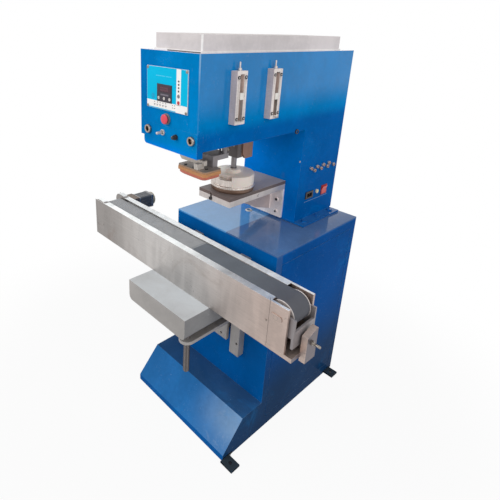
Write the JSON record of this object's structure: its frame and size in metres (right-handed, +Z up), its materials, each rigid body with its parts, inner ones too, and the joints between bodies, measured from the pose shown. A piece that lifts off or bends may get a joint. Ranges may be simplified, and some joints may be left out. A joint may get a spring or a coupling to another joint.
{
  "type": "pad printing machine",
  "caption": "Floor-standing pad printing machine: cabinet, column and overhanging head with ink cup and pad carriage, and a belt conveyor lifted on rails by a screw.",
  "frame": {"origin": "on the floor, on the machine's centre line, under the cabinet's front face", "axes": "+Z up; +X to the machine's right seen from the operator's side; -Y towards the operator"},
  "size_m": [1.097, 0.803, 1.433],
  "materials": {
    "base_cabinet": "gloss blue paint",
    "cabinet_door": "gloss blue paint",
    "column_flange": "gloss blue paint",
    "column_head": "gloss blue paint",
    "front_beam": "gloss blue paint",
    "top_cover": "satin warm grey paint",
    "control_plate": "satin",
    "control_overlay": "printed film",
    "control_display": "dark window",
    "panel_key_1": "satin",
    "panel_key_2": "satin",
    "panel_key_3": "satin",
    "stop_bezel": "satin",
    "stop_button": "satin",
    "guide_rods": "ground and plated",
    "toggle_lever": "plated",
    "speed_knob": "satin",
    "plate_bracket": "milled",
    "bed_plate": "milled",
    "cliche_plate": "ground, oiled",
    "carriage_block": "dark anodised",
    "pad_cylinder": "satin",
    "pad_block": "milled",
    "pad_clamp": "milled",
    "pad_base": "varnished",
    "silicone_pad": "soft silicone",
    "cup_wiper": "ground",
    "cup_body": "polished",
    "cup_cap": "white, satin",
    "cup_spindle": "turned",
    "cup_holder": "dark",
    "shuttle_cylinder": "satin",
    "air_fittings": "plated",
    "electrics": "satin",
    "power_rocker": "satin",
    "valve_block": "satin",
    "conveyor_belt": "matt grey",
    "drive_roller": "turned",
    "idler_roller": "turned",
    "gear_motor": "dark enamel",
    "control_box": "grey paint",
    "adjuster_body_1": "milled",
    "adjuster_screw_1": "turned",
    "adjuster_nut_1": "milled",
    "adjuster_body_2": "milled",
    "adjuster_screw_2": "turned",
    "adjuster_nut_2": "milled",
    "conveyor_side_front": "brushed",
    "conveyor_side_rear": "brushed",
    "conveyor_end_front": "brushed",
    "conveyor_end_rear": "brushed",
    "conveyor_base": "brushed",
    "belt_bed": "brushed",
    "take_up_yoke": "brushed",
    "lift_rail_left": "brushed",
    "lift_rail_right": "brushed",
    "lift_slide": "brushed",
    "height_arm": "brushed",
    "take_up_screw": "turned",
    "height_spindle": "turned"
  },
  "bodies": {
    "base": {"base_cabinet": "base_cabinet", "column_flange": "column_flange", "column_head": "column_head", "front_beam": "front_beam", "top_cover": "top_cover", "control_plate": "control_plate", "control_overlay": "control_overlay", "control_display": "control_display", "stop_bezel": "stop_bezel", "guide_rods": "guide_rods", "adjuster_body_1": "adjuster_body_1", "adjuster_body_2": "adjuster_body_2", "plate_bracket": "plate_bracket", "bed_plate": "bed_plate", "cliche_plate": "cliche_plate", "shuttle_cylinder": "shuttle_cylinder", "air_fittings": "air_fittings", "electrics": "electrics", "valve_block": "valve_block", "lift_rail_left": "lift_rail_left", "lift_rail_right": "lift_rail_right", "height_arm": "height_arm"},
    "door": {"cabinet_door": "cabinet_door"},
    "stop_button": {"stop_button": "stop_button"},
    "toggle": {"toggle_lever": "toggle_lever"},
    "speed_knob": {"speed_knob": "speed_knob"},
    "rocker": {"power_rocker": "power_rocker"},
    "carriage": {"carriage_block": "carriage_block", "pad_cylinder": "pad_cylinder", "cup_wiper": "cup_wiper", "cup_body": "cup_body", "cup_cap": "cup_cap", "cup_spindle": "cup_spindle", "cup_holder": "cup_holder"},
    "pad": {"pad_block": "pad_block", "pad_clamp": "pad_clamp", "pad_base": "pad_base", "silicone_pad": "silicone_pad"},
    "lift": {"lift_slide": "lift_slide", "conveyor_side_front": "conveyor_side_front", "conveyor_side_rear": "conveyor_side_rear", "conveyor_end_front": "conveyor_end_front", "conveyor_end_rear": "conveyor_end_rear", "conveyor_base": "conveyor_base", "conveyor_belt": "conveyor_belt", "belt_bed": "belt_bed", "gear_motor": "gear_motor", "control_box": "control_box"},
    "drive_roller": {"drive_roller": "drive_roller"},
    "take_up": {"take_up_yoke": "take_up_yoke"},
    "idler_roller": {"idler_roller": "idler_roller"},
    "take_up_screw": {"take_up_screw": "take_up_screw"},
    "height_spindle": {"height_spindle": "height_spindle"},
    "key_1": {"panel_key_1": "panel_key_1"},
    "key_2": {"panel_key_2": "panel_key_2"},
    "key_3": {"panel_key_3": "panel_key_3"},
    "nut_1": {"adjuster_nut_1": "adjuster_nut_1"},
    "screw_1": {"adjuster_screw_1": "adjuster_screw_1"},
    "nut_2": {"adjuster_nut_2": "adjuster_nut_2"},
    "screw_2": {"adjuster_screw_2": "adjuster_screw_2"}
  },
  "joints": [
    {"name": "door_hinge", "type": "hinge", "parent": "base", "child": "door", "pos_m": [0.246, 0.474, 0.379], "axis": [0, 0, 1], "range_deg": [0, 110]},
    {"name": "carriage_slide", "type": "slide", "parent": "base", "child": "carriage", "axis": [0, 1, 0], "range_m": [0, 0.135]},
    {"name": "pad_slide", "type": "slide", "parent": "carriage", "child": "pad", "axis": [0, 0, -1], "range_m": [0, 0.07]},
    {"name": "lift_slide", "type": "slide", "parent": "base", "child": "lift", "axis": [0, 0, 1], "range_m": [0, 0.1]},
    {"name": "height_screw", "type": "hinge", "parent": "lift", "child": "height_spindle", "pos_m": [0.1, -0.252, 0.45], "axis": [0, 0, 1], "range_deg": [-1, 7201]},
    {"name": "drive_spin", "type": "hinge", "parent": "lift", "child": "drive_roller", "pos_m": [-0.546, -0.12, 0.694], "axis": [0, 1, 0], "continuous": true},
    {"name": "take_up_slide", "type": "slide", "parent": "lift", "child": "take_up", "axis": [-1, 0, 0], "range_m": [0, 0.004]},
    {"name": "take_up_turn", "type": "hinge", "parent": "take_up", "child": "take_up_screw", "pos_m": [0.47, -0.12, 0.624], "axis": [1, 0, 0], "range_deg": [-1153, 1]},
    {"name": "idler_spin", "type": "hinge", "parent": "take_up", "child": "idler_roller", "pos_m": [0.392, -0.12, 0.691], "axis": [0, 1, 0], "continuous": true},
    {"name": "stop_press", "type": "slide", "parent": "base", "child": "stop_button", "axis": [0, 1, 0], "range_m": [0, 0.003], "stiffness_N_per_m": 800},
    {"name": "toggle_rock", "type": "hinge", "parent": "base", "child": "toggle", "pos_m": [-0.018, -0.26, 1.153], "axis": [1, 0, 0], "range_deg": [-10, 10]},
    {"name": "speed_turn", "type": "hinge", "parent": "base", "child": "speed_knob", "pos_m": [0.043, -0.26, 1.15], "axis": [0, 1, 0], "range_deg": [-140, 140]},
    {"name": "power_rock", "type": "hinge", "parent": "base", "child": "rocker", "pos_m": [0.136, 0.431, 0.857], "axis": [0, 1, 0], "range_deg": [-16, 0]},
    {"name": "key_press_1", "type": "slide", "parent": "base", "child": "key_1", "axis": [0, 1, 0], "range_m": [0, 0.0008], "stiffness_N_per_m": 300},
    {"name": "key_press_2", "type": "slide", "parent": "base", "child": "key_2", "axis": [0, 1, 0], "range_m": [0, 0.0008], "stiffness_N_per_m": 300},
    {"name": "key_press_3", "type": "slide", "parent": "base", "child": "key_3", "axis": [0, 1, 0], "range_m": [0, 0.0008], "stiffness_N_per_m": 300},
    {"name": "nut_slide_1", "type": "slide", "parent": "base", "child": "nut_1", "axis": [0, 0, 1], "range_m": [-0.055, 0.045]},
    {"name": "screw_turn_1", "type": "hinge", "parent": "base", "child": "screw_1", "pos_m": [0.145, -0.127, 1.27], "axis": [0, 0, 1], "range_deg": [-9910, 9910]},
    {"name": "nut_slide_2", "type": "slide", "parent": "base", "child": "nut_2", "axis": [0, 0, 1], "range_m": [-0.045, 0.055]},
    {"name": "screw_turn_2", "type": "hinge", "parent": "base", "child": "screw_2", "pos_m": [0.145, 0.033, 1.27], "axis": [0, 0, 1], "range_deg": [-9910, 9910]}
  ],
  "couplings": [
    {"joint": "height_screw", "follows": "lift_slide", "rad_per_m": 1256.6},
    {"joint": "take_up_turn", "follows": "take_up_slide", "rad_per_m": -5026.5},
    {"joint": "drive_spin", "follows": "idler_spin", "ratio": 1.4378},
    {"joint": "screw_turn_1", "follows": "nut_slide_1", "rad_per_m": -3141.6},
    {"joint": "screw_turn_2", "follows": "nut_slide_2", "rad_per_m": -3141.6}
  ]
}
